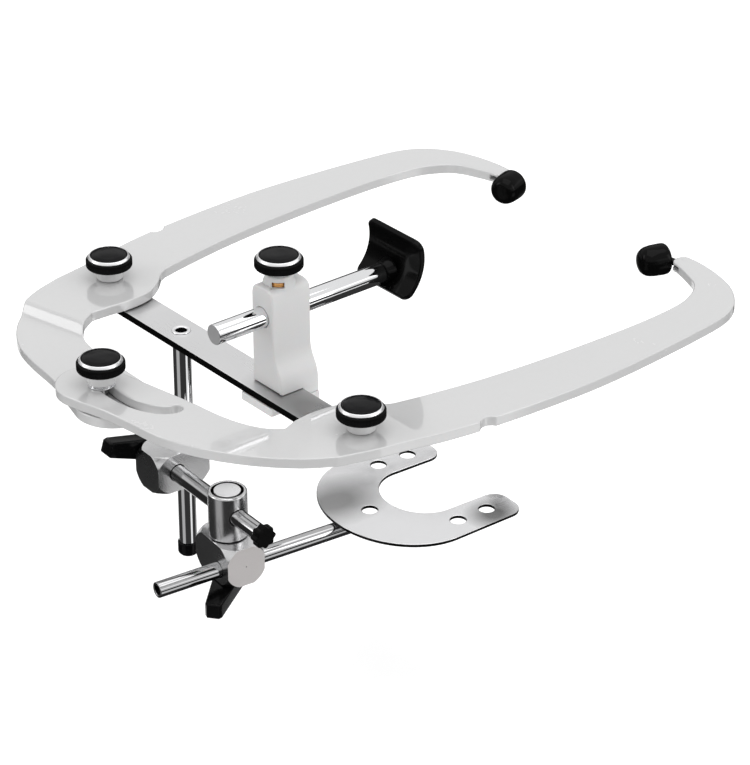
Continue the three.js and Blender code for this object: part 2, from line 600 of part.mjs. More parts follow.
// A flat horseshoe with two holes in each prong and one in the web, on top of the rod's end.
function forkPlate() {
  const { width, inner, length, web, thick, start, hole } = FORK;
  const half = width / 2;
  const slot = inner / 2;
  const outerRise = 30.5;
  const innerRise = 15.5;
  const corner = 6;
  const outline = [
    ...arc(0, outerRise, half, 180, 360, 28, outerRise),
    ...arc(half - 1 - corner, length - corner, corner, 0, 90, 5),
    ...arc(slot + corner, length - corner, corner, 90, 180, 5),
    ...arc(0, web + innerRise, slot, 360, 180, 18, innerRise),
    ...arc(-slot - corner, length - corner, corner, 0, 90, 5),
    ...arc(1 + corner - half, length - corner, corner, 90, 180, 5),
  ];
  const places = [[0, 16], [-26, 39], [26, 39], [-25.7, 53], [25.7, 53]];
  const holes = places.map(([x, y]) => arc(x, y, hole, 360, 20, 17));
  const flat = plate(outline, 0, thick, 0.2, holes).translate(0, -FORK.middle, 0).rotateZ(FORK.skew * RAD);
  return flat.translate(0, start + FORK.middle - 0.8, FORK_ROD.r + 0.2);
}

add(stem, 'fork_plate', forkPlate(), CHROME);

export default facebow;
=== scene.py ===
"""Looks of the dental facebow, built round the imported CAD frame. Sizes below are in millimetres."""

import json
import math

import bmesh
import bpy
from mathutils import Matrix, Vector

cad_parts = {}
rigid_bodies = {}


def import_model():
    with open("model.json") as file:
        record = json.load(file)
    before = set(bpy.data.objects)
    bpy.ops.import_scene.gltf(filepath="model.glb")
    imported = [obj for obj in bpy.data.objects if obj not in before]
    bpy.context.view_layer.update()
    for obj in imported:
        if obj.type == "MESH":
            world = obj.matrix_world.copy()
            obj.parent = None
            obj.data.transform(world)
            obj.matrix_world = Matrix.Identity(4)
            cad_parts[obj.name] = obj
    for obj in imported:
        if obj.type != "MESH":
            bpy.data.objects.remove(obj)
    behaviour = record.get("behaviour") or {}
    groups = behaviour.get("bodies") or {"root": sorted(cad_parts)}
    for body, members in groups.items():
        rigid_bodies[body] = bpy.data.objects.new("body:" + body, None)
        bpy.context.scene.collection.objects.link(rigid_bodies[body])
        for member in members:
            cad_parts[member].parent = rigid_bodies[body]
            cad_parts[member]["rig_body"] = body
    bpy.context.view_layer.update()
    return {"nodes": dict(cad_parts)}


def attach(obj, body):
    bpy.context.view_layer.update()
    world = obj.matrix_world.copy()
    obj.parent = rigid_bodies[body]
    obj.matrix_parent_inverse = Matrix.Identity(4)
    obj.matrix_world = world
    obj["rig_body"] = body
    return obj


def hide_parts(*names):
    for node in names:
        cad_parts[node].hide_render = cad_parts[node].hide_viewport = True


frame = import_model()
MM = 0.001
scene = bpy.context.scene

# ---------------------------------------------------------------- camera

view = bpy.data.cameras.new("view")
view.lens = 148.37
view.sensor_width = 36
view.clip_end = 50
camera = bpy.data.objects.new("view", view)
scene.collection.objects.link(camera)
azimuth, elevation = math.radians(50.56), math.radians(28.73)
back = Vector((math.sin(azimuth) * math.cos(elevation), -math.cos(azimuth) * math.cos(elevation),
               math.sin(elevation)))
right = Vector((math.cos(azimuth), math.sin(azimuth), 0))
turn = Matrix((right, back.cross(right), back)).transposed()
camera.matrix_world = Matrix.Translation(Vector((830.05, -613.13, 555.42)) * MM) @ turn.to_4x4()
scene.camera = camera

# ---------------------------------------------------------------- materials


class Nodes:
    """A material's node tree, with short ways to add and join nodes."""

    def __init__(self, name):
        self.material = bpy.data.materials.new(name)
        self.material.use_nodes = True
        self.tree = self.material.node_tree
        self.shader = self.tree.nodes["Principled BSDF"]
        self.place = self.tree.nodes.new("ShaderNodeTexCoord").outputs["Object"]

    def add(self, kind, **values):
        node = self.tree.nodes.new(kind)
        for key, value in values.items():
            if hasattr(node, key):
                setattr(node, key, value)
            else:
                node.inputs[key.replace("_", " ").title()].default_value = value
        return node

    def join(self, output, target):
        self.tree.links.new(output, target)

    def noise(self, scale, detail=3.0, stretch=(1, 1, 1)):
        mapping = self.add("ShaderNodeMapping")
        mapping.inputs["Scale"].default_value = stretch
        self.join(self.place, mapping.inputs["Vector"])
        noise = self.add("ShaderNodeTexNoise", scale=scale, detail=detail)
        self.join(mapping.outputs["Vector"], noise.inputs["Vector"])
        return noise.outputs["Fac"]

    def spread(self, value, low, high, start=0.3, end=0.7):
        node = self.add("ShaderNodeMapRange")
        for name, number in (("From Min", start), ("From Max", end), ("To Min", low), ("To Max", high)):
            node.inputs[name].default_value = number
        self.join(value, node.inputs["Value"])
        return node.outputs["Result"]

    def sum(self, a, b, how="ADD"):
        node = self.add("ShaderNodeMath", operation=how)
        self.join(a, node.inputs[0])
        if isinstance(b, (int, float)):
            node.inputs[1].default_value = b
        else:
            self.join(b, node.inputs[1])
        return node.outputs[0]

    def mix(self, factor, a, b):
        node = self.add("ShaderNodeMix", data_type="RGBA")
        self.join(factor, node.inputs[0])
        for socket, colour in ((node.inputs[6], a), (node.inputs[7], b)):
            if hasattr(colour, "is_output"):
                self.join(colour, socket)
            else:
                socket.default_value = (*colour, 1)
        return node.outputs[2]

    def edges(self, width):
        """1 on edges, where a rounded normal leaves the true one, and 0 elsewhere."""
        rounded = self.add("ShaderNodeBevel", samples=4, radius=width * MM)
        true = self.add("ShaderNodeNewGeometry")
        dot = self.add("ShaderNodeVectorMath", operation="DOT_PRODUCT")
        self.join(rounded.outputs["Normal"], dot.inputs[0])
        self.join(true.outputs["Normal"], dot.inputs[1])
        return self.spread(self.sum(dot.outputs["Value"], -1, "MULTIPLY"), 0, 1, -0.97, -0.8)

    def blob(self, centre, radii):
        """1 at a place in mm, fading to 0 at the given radii."""
        shift = self.add("ShaderNodeVectorMath", operation="SUBTRACT")
        self.join(self.place, shift.inputs[0])
        shift.inputs[1].default_value = tuple(c * MM for c in centre)
        scale = self.add("ShaderNodeVectorMath", operation="DIVIDE")
        self.join(shift.outputs["Vector"], scale.inputs[0])
        scale.inputs[1].default_value = tuple(r * MM for r in radii)
        length = self.add("ShaderNodeVectorMath", operation="LENGTH")
        self.join(scale.outputs["Vector"], length.inputs[0])
        return self.spread(length.outputs["Value"], 1, 0, 0.25, 1)

    def warp(self, distance, scale):
        """A slow bend of the reflections, as on thin sheet."""
        node = self.add("ShaderNodeBump", distance=distance)
        node.inputs["Strength"].default_value = 1
        self.join(self.noise(scale, 1.0), node.inputs["Height"])
        return node.outputs["Normal"]


def surface(name, colour, rough, metal=0.0, coat=0.0, shade=0.04, rough_spread=0.04, blotch=45, grain=1600,
            bump=0.00002, stretch=(1, 1, 1), edge_highlight=None, specular=0.5, warp=None, width=0.3,
            painted_shade_patches=()):
    """A finish with uneven tone and gloss, a fine grain, a painted highlight along the edges, and darker
    patches of painted shade and dark reflections.
    """
    n = Nodes(name)
    coarse = n.noise(blotch)
    fine = n.noise(grain, 2.0, stretch)
    dark = tuple(c * (1 - shade) for c in colour)
    light = tuple(min(1, c * (1 + shade)) for c in colour)
    tone = n.mix(n.spread(n.sum(n.sum(coarse, fine), 0.5, "MULTIPLY"), 0, 1), dark, light)
    # Painted highlight: a lighter colour is laid along the edges, as if a rounded edge caught the light.
    if edge_highlight:
        tone = n.mix(n.edges(width), tone, edge_highlight)
    # Painted shade: darker patches at given places stand for shade and dark reflections.
    for centre, radius, value in painted_shade_patches:
        tone = n.mix(n.blob(centre, radius), tone, (value, value, value))
    n.join(tone, n.shader.inputs["Base Color"])
    gloss = n.sum(n.spread(coarse, -rough_spread, rough_spread), n.spread(fine, rough - 0.4 * rough_spread,
                                                                       rough + 0.4 * rough_spread))
    n.join(gloss, n.shader.inputs["Roughness"])
    relief = n.add("ShaderNodeBump", distance=bump)
    relief.inputs["Strength"].default_value = 0.5
    n.join(fine, relief.inputs["Height"])
    if warp:
        n.join(n.warp(*warp), relief.inputs["Normal"])
    n.join(relief.outputs["Normal"], n.shader.inputs["Normal"])
    n.shader.inputs["Metallic"].default_value = metal
    n.shader.inputs["Coat Weight"].default_value = coat
    n.shader.inputs["Coat Roughness"].default_value = 0.08
    n.shader.inputs["Specular IOR Level"].default_value = specular
    return n.material


ARM_WHITE = surface("gloss_white", (0.58, 0.58, 0.582), 0.24, coat=1, shade=0.01, rough_spread=0.03,
                    grain=500, bump=0.000004, warp=(0.0001, 30))
ARM_WHITE.node_tree.nodes["Principled BSDF"].inputs["Coat IOR"].default_value = 1.8
ARM_WHITE.node_tree.nodes["Principled BSDF"].inputs["Coat Roughness"].default_value = 0.03
# Painted highlight: a lighter colour along the block's edges.
BLOCK_WHITE = surface("block_white", (0.67, 0.67, 0.67), 0.42, shade=0.02, grain=2200, bump=0.00003,
                      edge_highlight=(0.72, 0.72, 0.72))
BLOCK_WHITE.node_tree.nodes["Principled BSDF"].inputs["Subsurface Weight"].default_value = 0.08
BLOCK_WHITE.node_tree.nodes["Principled BSDF"].inputs["Subsurface Scale"].default_value = 0.002
COLLAR = surface("clear_white", (0.76, 0.76, 0.76), 0.22, coat=0.4, shade=0.02)
# Painted highlight: a lighter colour along the edges of the black gloss parts.
BLACK_GLOSS = surface("black_gloss", (0.003, 0.003, 0.0032), 0.16, coat=0.06, shade=0.15, specular=0.08,
                      edge_highlight=(0.012, 0.012, 0.012), width=0.25)
BLACK_CAP = surface("black_cap", (0.004, 0.004, 0.0045), 0.2, coat=0.02, shade=0.15, blotch=200,
                    specular=0.08, warp=(0.0006, 110))
# Painted highlight: a lighter colour along the edges of the knurled rims.
BLACK_MATTE = surface("black_knurled", (0.003, 0.003, 0.003), 0.4, shade=0.2, grain=3000, bump=0.00004,
                      specular=0.06, edge_highlight=(0.01, 0.01, 0.01), width=0.2)
RUBBER = surface("black_rubber", (0.002, 0.002, 0.002), 0.3, coat=0.15, shade=0.2, grain=2600, bump=0.00001,
                 specular=0.02)
CHROME = surface("chrome", (0.86, 0.865, 0.875), 0.06, metal=1, shade=0.015, rough_spread=0.02, grain=700,
                 bump=0.000004)
# Painted shade: a darker copy of the chrome, standing in for shade and dark reflections on rods under the
# arms.
SHADED_CHROME = surface("shaded_chrome", (0.5, 0.5, 0.505), 0.07, metal=1, shade=0.03, rough_spread=0.02,
                      grain=700, bump=0.000004)
RING = surface("bright_ring", (0.9, 0.9, 0.91), 0.3, metal=1, shade=0.02, rough_spread=0.03)
# Painted shade: the bar is darker towards both ends, standing in for dark reflections.
BRUSHED = surface("brushed_bar", (0.78, 0.78, 0.785), 0.3, metal=1, shade=0.05, grain=260,
                  stretch=(0.5, 30, 30), bump=0.00001, warp=(0.0002, 22),
                  painted_shade_patches=(((52, 0, 0), (40, 20, 20), 0.3), ((-68, 0, 0), (17, 20, 20), 0.12)))
# Painted shade: near-black for the side faces of the crossbar and bite fork, standing in for dark
# reflections.
SHADE_EDGE = surface("bar_edge_painted_shade", (0.02, 0.02, 0.019), 0.38, metal=1, shade=0.1)
# Painted shade: two darker patches on the bite fork, standing in for shade and dark reflections.
FORK_SHADE_PATCHES = (((11, 41, -72), (19, 26, 30), 0.36), ((57, 82, -72), (12, 13, 30), 0.22))
FORK_STEEL = surface("fork_steel", (0.86, 0.86, 0.87), 0.16, metal=1, shade=0.04, rough_spread=0.08,
                     blotch=38, grain=300, stretch=(14, 1, 1), bump=0.000005, warp=(0.0012, 26),
                     painted_shade_patches=FORK_SHADE_PATCHES)
# Painted highlight: white along the clamp edges, standing in for bright chamfers.
CLAMP_STEEL = surface("clamp_steel", (0.68, 0.68, 0.685), 0.24, metal=1, shade=0.06, grain=420,
                      stretch=(1, 1, 12), bump=0.00001, edge_highlight=(1, 1, 1), width=0.6)
DARK_FACE = surface("dark_face", (0.5, 0.5, 0.505), 0.3, metal=1, shade=0.06, grain=1500, bump=0.00001)
END_FACE = surface("turned_face", (0.6, 0.575, 0.57), 0.5, metal=0.35, shade=0.03, grain=1500, bump=0.00001)
ROD_END = surface("rod_end", (0.36, 0.36, 0.365), 0.45, metal=0.3, shade=0.05, grain=1500, bump=0.00001)
SCREW_STEEL = surface("screw_steel", (0.55, 0.55, 0.55), 0.25, metal=1, shade=0.05)
BRASS = surface("brass", (0.85, 0.45, 0.16), 0.22, metal=1, shade=0.08, grain=900)
# Painted shade: near-black laid into hollows, where shade falls.
RECESS_SHADE = surface("recess_painted_shade", (0.003, 0.003, 0.003), 0.5, shade=0.2, specular=0.1)

# ---------------------------------------------------------------- shapes


def cross_round(points, radius, steps=4, loop=False):
    """A flat polyline with its corners rounded."""
    count = len(points)
    out = []
    for i, point in enumerate(points):
        if not loop and i in (0, count - 1):
            out.append(tuple(point))
            continue
        here = Vector(point)
        before = Vector(points[i - 1]) - here
        after = Vector(points[(i + 1) % count]) - here
        reach = min(radius, before.length * 0.45, after.length * 0.45)
        a = here + before.normalized() * reach
        b = here + after.normalized() * reach
        for k in range(steps + 1):
            t = k / steps
            out.append(tuple(a * (1 - t) ** 2 + here * (2 * t * (1 - t)) + b * t ** 2))
    return out


def finish_mesh(mesh, angle=34):
    mesh.validate()
    mesh.shade_smooth()
    mesh.set_sharp_from_angle(angle=math.radians(angle))


def new_object(name, mesh):
    item = bpy.data.objects.new(name, mesh)
    scene.collection.objects.link(item)
    return item


def lathe(name, profile, place=Matrix(), sides=96, loop=False, ripple=None, soft=0.0, sharp=34):
    """Turns (radius, height) pairs round +Z. ripple is (teeth, depth, from radius)."""
    if soft:
        profile = cross_round(profile, soft, 4, loop)
    bm = bmesh.new()
    rings = []
    for radius, height in profile:
        if radius < 1e-6:
            rings.append([bm.verts.new((0, 0, height))])
            continue
        ring = []
        for i in range(sides):
            a = 2 * math.pi * i / sides
            r = radius
            if ripple and radius > ripple[2]:
                r -= ripple[1] * (0.5 - 0.5 * math.cos(ripple[0] * a))
            ring.append(bm.verts.new((r * math.cos(a), r * math.sin(a), height)))
        rings.append(ring)
    pairs = list(zip(rings, rings[1:]))
    if loop:
        pairs.append((rings[-1], rings[0]))
    for low, high in pairs:
        if len(low) == 1 and len(high) == 1:
            continue
        for i in range(sides):
            j = (i + 1) % sides
            if len(low) == 1:
                bm.faces.new((low[0], high[j], high[i]))
            elif len(high) == 1:
                bm.faces.new((low[i], low[j], high[0]))
            else:
                bm.faces.new((low[i], low[j], high[j], high[i]))
    bmesh.ops.recalc_face_normals(bm, faces=bm.faces)
    bm.transform(Matrix.Scale(MM, 4) @ place)
    mesh = bpy.data.meshes.new(name)
    bm.to_mesh(mesh)
    bm.free()
    finish_mesh(mesh, sharp)
    return new_object(name, mesh)


def plate(name, outlines, low, high, edge, place=Matrix(), cuts=(), bend=None, resolution=4):
    """A flat plate with rounded edges between two heights. cuts are planes that add points for bend."""
    curve = bpy.data.curves.new(name, "CURVE")
    curve.dimensions = "2D"
    curve.fill_mode = "BOTH"
    curve.bevel_resolution = resolution
    curve.bevel_depth = edge
    curve.offset = -edge
    curve.extrude = (high - low) / 2 - edge
    for outline in outlines:
        spline = curve.splines.new("POLY")
        spline.points.add(len(outline) - 1)
        spline.use_cyclic_u = True
        for point, (x, y) in zip(spline.points, outline):
            point.co = (x, y, 0, 1)
    source = bpy.data.objects.new(name, curve)
    scene.collection.objects.link(source)
    bpy.context.view_layer.update()
    mesh = bpy.data.meshes.new_from_object(source.evaluated_get(bpy.context.evaluated_depsgraph_get()))
    bpy.data.objects.remove(source)
    bm = bmesh.new()
    bm.from_mesh(mesh)
    bmesh.ops.remove_doubles(bm, verts=bm.verts, dist=0.002)
    for at, normal in cuts:
        geometry = bm.verts[:] + bm.edges[:] + bm.faces[:]
        bmesh.ops.bisect_plane(bm, geom=geometry, plane_co=at, plane_no=normal, dist=1e-4)
    middle = (high + low) / 2
    for vertex in bm.verts:
        vertex.co.z += middle
        if bend:
            vertex.co = bend(vertex.co)
    bmesh.ops.recalc_face_normals(bm, faces=bm.faces)
    bm.transform(Matrix.Scale(MM, 4) @ place)
    bm.to_mesh(mesh)
    bm.free()
    mesh.name = name
    finish_mesh(mesh, 50)
    item = new_object(name, mesh)
    item.modifiers.new("even", "WEIGHTED_NORMAL").keep_sharp = True
    return item


def combine(item, other, how):
    """Applies a boolean of other to item, and removes other."""
    modifier = item.modifiers.new("cut", "BOOLEAN")
    modifier.operation = how
    modifier.solver = "EXACT"
    modifier.object = other
    bpy.context.view_layer.update()
    mesh = bpy.data.meshes.new_from_object(item.evaluated_get(bpy.context.evaluated_depsgraph_get()))
    item.modifiers.clear()
    item.data = mesh
    bpy.data.objects.remove(other)
    return item


def soften(item, width, angle=32, segments=2):
    """Rounds the sharp edges of a cut solid."""
    bevel = item.modifiers.new("edge", "BEVEL")
    bevel.width = width * MM
    bevel.segments = segments
    bevel.limit_method = "ANGLE"
    bevel.angle_limit = math.radians(angle)
    bevel.harden_normals = False
    finish_mesh(item.data, 180)
    item.modifiers.new("even", "WEIGHTED_NORMAL").keep_sharp = True
    return item


def rod(name, axis, radius, low, high, place=Matrix(), sides=64):
    """A plain round bar along an axis."""
    profile = [(0, low), (radius, low), (radius, high), (0, high)]
    return lathe(name, profile, place @ AXES[axis], sides)


def block(name, x0, x1, y0, y1, z0, z1, place=Matrix()):
    """A plain box between six planes."""
    bm = bmesh.new()
    bmesh.ops.create_cube(bm, size=1)
    size = Matrix.Diagonal((x1 - x0, y1 - y0, z1 - z0, 1))
    centre = Matrix.Translation(((x0 + x1) / 2, (y0 + y1) / 2, (z0 + z1) / 2))
    bm.transform(Matrix.Scale(MM, 4) @ place @ centre @ size)
    mesh = bpy.data.meshes.new(name)
    bm.to_mesh(mesh)
    bm.free()
    return new_object(name, mesh)


AXES = {
    "x": Matrix.Rotation(math.pi / 2, 4, "Y"),
    "y": Matrix.Rotation(-math.pi / 2, 4, "X"),
    "z": Matrix(),
}


def at(x, y, z=0.0, degrees=0.0):
    """A place in mm, turned about the vertical."""
    return Matrix.Translation((x, y, z)) @ Matrix.Rotation(math.radians(degrees), 4, "Z")


def arc(x, y, radius_x, start, end, steps, radius_y=None):
    """Points on a circle, or on an ellipse where radius_y is given."""
    radius_y = radius_x if radius_y is None else radius_y
    points = []
    for i in range(steps + 1):
        a = math.radians(start + (end - start) * i / steps)
        points.append((x + radius_x * math.cos(a), y + radius_y * math.sin(a)))
    return points


def smooth(points, steps=10):
    """The same spline through points that the CAD outlines use, more finely divided."""
    out = []
    last = len(points) - 1
    for i in range(last):
        p0, p1 = points[max(i - 1, 0)], points[i]
        p2, p3 = points[i + 1], points[min(i + 2, last)]
        for k in range(steps):
            t = k / steps
            out.append(tuple(
                0.5 * (2 * b + (c - a) * t + (2 * a - 5 * b + 4 * c - d) * t * t
                       + (3 * b - a - 3 * c + d) * t ** 3)
                for a, b, c, d in zip(p0, p1, p2, p3)))
    out.append(tuple(points[last]))
    return out


def dress(item, node, material=None):
    """The piece stands for a CAD node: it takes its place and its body."""
    if material:
        item.data.materials.clear()
        item.data.materials.append(material)
    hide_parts(node)
    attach(item, frame["nodes"][node]["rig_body"])
    return item


def paint(item, material, chosen):
    """Gives a second material to the faces for which chosen(centre in mm, normal) is true."""
    item.data.materials.append(material)
    index = len(item.data.materials) - 1
    for face in item.data.polygons:
        if chosen(face.center / MM, face.normal):
            face.material_index = index


# ---------------------------------------------------------------- arms

PIVOT_X = 77
ARM_LOW, ARM_HIGH, ARM_DROP, ARM_EDGE = 0.3, 4.3, 4.3, 0.55
STUD = (-8.4, -52)
EAR = {"x": 53.2, "y": 181.6, "tip_x": 3.1, "tip_y": 3.9}
REAR_OUTER = [(92, -3.5), (94.4, 8), (97.2, 19.4), (99, 29), (99.9, 35.4)]
REAR_SIDE = [(100.7, 43), (102.2, 60), (103.4, 87), (102.4, 113.5), (99.6, 144.5), (96.8, 162), (91.5, 172),
             (82.5, 179.4), (72.5, 183.3), (61, 185.4), (53.2, 185.5)]
REAR_INNER = [(53.8, 177.7), (61, 175.4), (70.5, 171), (76.2, 163), (79.2, 153), (80.5, 135), (80.2, 112),
              (78.8, 85), (76.2, 58), (72.6, 36), (69.4, 21)]
PIVOT_LOBE = [(67.6, 17.6), (62.3, 12.2), (57.6, 4.6), (56.2, -5.4), (56.9, -14)]


def rear_half():
    notch = cross_round([REAR_OUTER[-1], *arc(102.4, 39.2, 4, -125, -235, 12), REAR_SIDE[0]], 0.8, 3)
    tip = arc(EAR["x"], EAR["y"], EAR["tip_x"], 105, 260, 16, EAR["tip_y"])
    return [*smooth(REAR_OUTER, 8), *notch, *smooth(REAR_SIDE), *tip, *smooth(REAR_INNER),
            *smooth(PIVOT_LOBE)]


def tidy(points):
    """Drops points that lie almost on the one before."""
    out = [points[0]]
    for point in points[1:]:
        if (Vector(point) - Vector(out[-1])).length > 0.12:
            out.append(point)
    if (Vector(out[0]) - Vector(out[-1])).length < 0.12:
        out.pop()
    return out


def right_outline():
    front = smooth([(59.3, -20.5), (54.8, -25.6), (47, -29.8), (37, -32.6), (21.7, -34.8), (5, -38),
                    (-9.6, -40.9)])
    lobe = arc(-12, -54, 13.3, 84, 278, 50)
    outer = smooth([(-3, -65.7), (8, -62.6), (22, -60.4), (37, -58.2), (52, -52.3), (67.5, -42),
                    (80, -29.8), (87.4, -18.5)])
    return tidy([*rear_half(), *front, *lobe, *outer])


def left_outline():
    front = smooth([(-57.3, -22), (-51.8, -30), (-45, -33.2), (-34, -34.3), (-18, -34.4)])
    lobe = arc(-3, -50, 15.5, 96, -102, 50)
    outer = smooth([(-18, -62), (-30, -59), (-46, -57), (-57.5, -54.6), (-65.8, -51), (-74, -45.2),
                    (-81, -37.4), (-86, -28), (-89.6, -16.5)])
    return tidy([*[(-x, y) for x, y in rear_half()], *front, *lobe, *outer])


def about(point, centre, degrees):
    turned = Matrix.Rotation(math.radians(degrees), 2) @ (Vector(point) - Vector(centre))
    return tuple(Vector(centre) + turned)


def slot_point(degrees):
    """Where the stud stands in the right arm once both arms have opened by this angle."""
    return Vector(about(about(STUD, (-PIVOT_X, 0), degrees), (PIVOT_X, 0), degrees))


def slot_outline():
    upper, lower = [], []
    for i in range(41):
        degrees = 35 * i / 40
        along = (slot_point(degrees + 0.5) - slot_point(degrees - 0.5)).normalized()
        side = Vector((-along.y, along.x)) * 2.5
        upper.append(tuple(slot_point(degrees) + side))
        lower.append(tuple(slot_point(degrees) - side))
    first, last = slot_point(0), slot_point(35)
    start = math.degrees(math.atan2(upper[0][1] - first.y, upper[0][0] - first.x))
    end = math.degrees(math.atan2(lower[-1][1] - last.y, lower[-1][0] - last.x))
    return tidy([*lower, *arc(*last, 2.5, end, end + 180, 18), *reversed(upper),
                 *arc(*first, 2.5, start, start + 180, 18)])


def joggle():
    """The planes across the left arm's step, and the bend that lowers what lies in front of it."""
    across = Vector((-math.sin(math.radians(14)), math.cos(math.radians(14)), 0))
    origin = Vector((-69, -32.2, 0))
    planes = [(origin - across * (6 * i / 14), across) for i in range(15)]

    def bend(co):
        t = min(1, max(0, -(co - origin).dot(across) / 6))
        return Vector((co.x, co.y, co.z - ARM_DROP * t * t * (3 - 2 * t)))

    return planes, bend


def ear_slit(side):
    place = at(side * EAR["x"], EAR["y"], 0, 0 if side > 0 else 180)
    return block("slit", -3.7, 2.7, -8, 8, 1.3, 3.3, place)


planes, bend = joggle()
left_arm = plate("left_arm_shell", [left_outline()], ARM_LOW, ARM_HIGH, ARM_EDGE, cuts=planes, bend=bend)
right_arm = plate("right_arm_shell", [right_outline(), slot_outline()], ARM_LOW, ARM_HIGH, ARM_EDGE)
for item, node, side in ((left_arm, "left_arm", -1), (right_arm, "right_arm", 1)):
    combine(item, ear_slit(side), "DIFFERENCE")
    finish_mesh(item.data, 50)
    item.modifiers.new("even", "WEIGHTED_NORMAL").keep_sharp = True
    dress(item, node, ARM_WHITE)

# ---------------------------------------------------------------- ear plugs

PLUG = [(0, 2.8), (5.0, 2.8), (6.1, 3.6), (6.3, 5.2), (6.2, 9.6), (5.75, 12.4), (4.3, 14.4), (2.2, 15.0),
        (0, 15.1)]
for name, side in (("left", -1), ("right", 1)):
    place = at(side * EAR["x"], EAR["y"], 2.3, side * 162)
    plug = lathe(f"{name}_plug_body", PLUG, place @ Matrix.Translation((side * 7.7, 0, 0)) @ AXES["y"], 80,
                 soft=1.1, sharp=80)
    lean = math.atan2(3.8, 7.7)
    link_place = place @ Matrix.Rotation(lean if side > 0 else math.pi - lean, 4, "Z")
    strip = [*arc(0, 0, 2.3, 40, 320, 24), (8.7, -1.5), (8.7, 1.5)]
    link = plate(f"{name}_plug_link", [strip, arc(0, 0, 1.05, 0, 345, 23)], -0.78, 0.78, 0.15, link_place)
    dress(plug, f"{name}_ear_plug", RUBBER)
    link.data.materials.append(RUBBER)
    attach(link, f"{name}_ear_plug")
    pin = lathe(f"{name}_pin_body", [(0, ARM_LOW), (0.9, ARM_LOW), (0.9, 4.25), (0, 4.4)],
                at(side * EAR["x"], EAR["y"]), 32, soft=0.15)
    dress(pin, f"{name}_ear_pin", ARM_WHITE)

# ---------------------------------------------------------------- crossbar and post

bar_outline = tidy([*arc(PIVOT_X, 0, 7.5, -90, 90, 32), *arc(-PIVOT_X, 0, 7.5, 90, 270, 32)])
bar = plate("crossbar_body", [bar_outline, arc(-30.6, 0, 3.2, 0, 350, 35)], -3, 0, 0.22, resolution=2)
dress(bar, "crossbar", BRUSHED)
# Painted shade: the crossbar's side faces are painted near-black.
paint(bar, SHADE_EDGE, lambda centre, normal: abs(normal.z) < 0.35)
post_place = at(-30.6, 0)
bush = lathe("post_rivet", [(0, -1.5), (2.2, -1.5), (2.2, 0.1), (2.5, 0.45), (3.5, 0.5), (3.75, 0.1),
                            (3.05, 0),
                            (3.05, -3), (0, -3)], post_place, soft=0.12)
dress(bush, "post_bush", RING)
# Painted shade: the recess inside the post rivet is painted near-black.
paint(bush, RECESS_SHADE,
      lambda centre, normal: (centre.xy - Vector((-30.6, 0))).length < 2.23 and centre.z < 0.15)
post = lathe("post_shaft", [(0, -93.4), (3.5, -93.4), (3.5, -3.3), (0, -3.3)], post_place, soft=0.25)
dress(post, "post", CHROME)
cap = lathe("post_foot", [(0, -98.5), (3.2, -98.5), (4.1, -97.4), (4.1, -93.1), (3.9, -92.8), (3.6, -92.8),
                          (3.6, -93.6), (0, -93.6)], post_place, soft=0.5)
dress(cap, "post_cap", BLACK_GLOSS)

# ---------------------------------------------------------------- knobs and screws


def knob(prefix, place, collar_low):
    collar = lathe(f"{prefix}_collar", [(2.4, collar_low), (4.85, collar_low), (5.25, collar_low + 0.4),
                                        (5.25, 4.3), (6.15, 5.1), (2.4, 5.1)], place, 80, True, soft=0.25)
    dress(collar, f"{prefix}_knob_collar", COLLAR)
    teeth = 110
    rim = lathe(f"{prefix}_rim", [(2.4, 5.2), (8.3, 5.2), (8.75, 5.35), (9.0, 5.7), (9.0, 6.5), (9.0, 7.4),
                                  (9.0, 8.1), (8.75, 8.45), (8.35, 8.75), (2.4, 8.75)], place,
                teeth * 5, True,
                ripple=(teeth, 0.16, 8.8))
    dress(rim, f"{prefix}_knob_rim", BLACK_MATTE)
    ring = lathe(f"{prefix}_ring", [(7.3, 8.85), (8.2, 8.85), (8.15, 9.1), (7.6, 9.9), (7.3, 9.95)], place,
                 96, True,
                 soft=0.12)
    dress(ring, f"{prefix}_knob_ring", RING)
    button = lathe(f"{prefix}_button", [(0, 8.85), (7.15, 8.85), (7.15, 9.75), (6.7, 10.12), (5.2, 10.42),
                                        (3.0, 10.62), (0, 10.7)], place, 96, soft=0.3, sharp=60)
    dress(button, f"{prefix}_knob_cap", BLACK_CAP)


def screw(node, place, head, head_low, head_high, top, radius=2.1, slot_width=1.0):
    """A round-headed screw with a straight slot across its lower face."""
    profile = [(0, head_low), (head, head_low), (head, head_high), (radius, head_high), (radius, top),
               (0, top)]
    item = lathe(f"{node}_body", profile, place, 56, soft=0.35)
    if slot_width:
        groove = block("groove", -head - 1, head + 1, -slot_width / 2, slot_width / 2,
                       head_low - 1, head_low + 0.8,
                       place)
        combine(item, groove, "DIFFERENCE")
        finish_mesh(item.data)
    dress(item, node, SCREW_STEEL)


for name, side in (("left", -1), ("right", 1)):
    screw(f"{name}_pivot_screw", at(side * PIVOT_X, 0), 4.4, -5.2, -3.2, 12.9)
    knob(f"{name}_pivot", at(side * PIVOT_X, 0, ARM_HIGH), 0.2)
lock = at(*STUD)
screw("lock_stud", lock, 4.4, -6.2, -4.2, 14.1)
for name, low, radius in (("lower", 4.45, 5.1), ("upper", 4.95, 4.7)):
    washer = lathe(f"washer_{name}", [(2.3, low), (radius, low), (radius, low + 0.4), (2.3, low + 0.4)],
                   lock, 80,
                   True, soft=0.1)
    dress(washer, f"lock_washer_{name}", CHROME)
knob("lock", at(*STUD, ARM_HIGH + 1.2), 0)

# ---------------------------------------------------------------- nasion relator

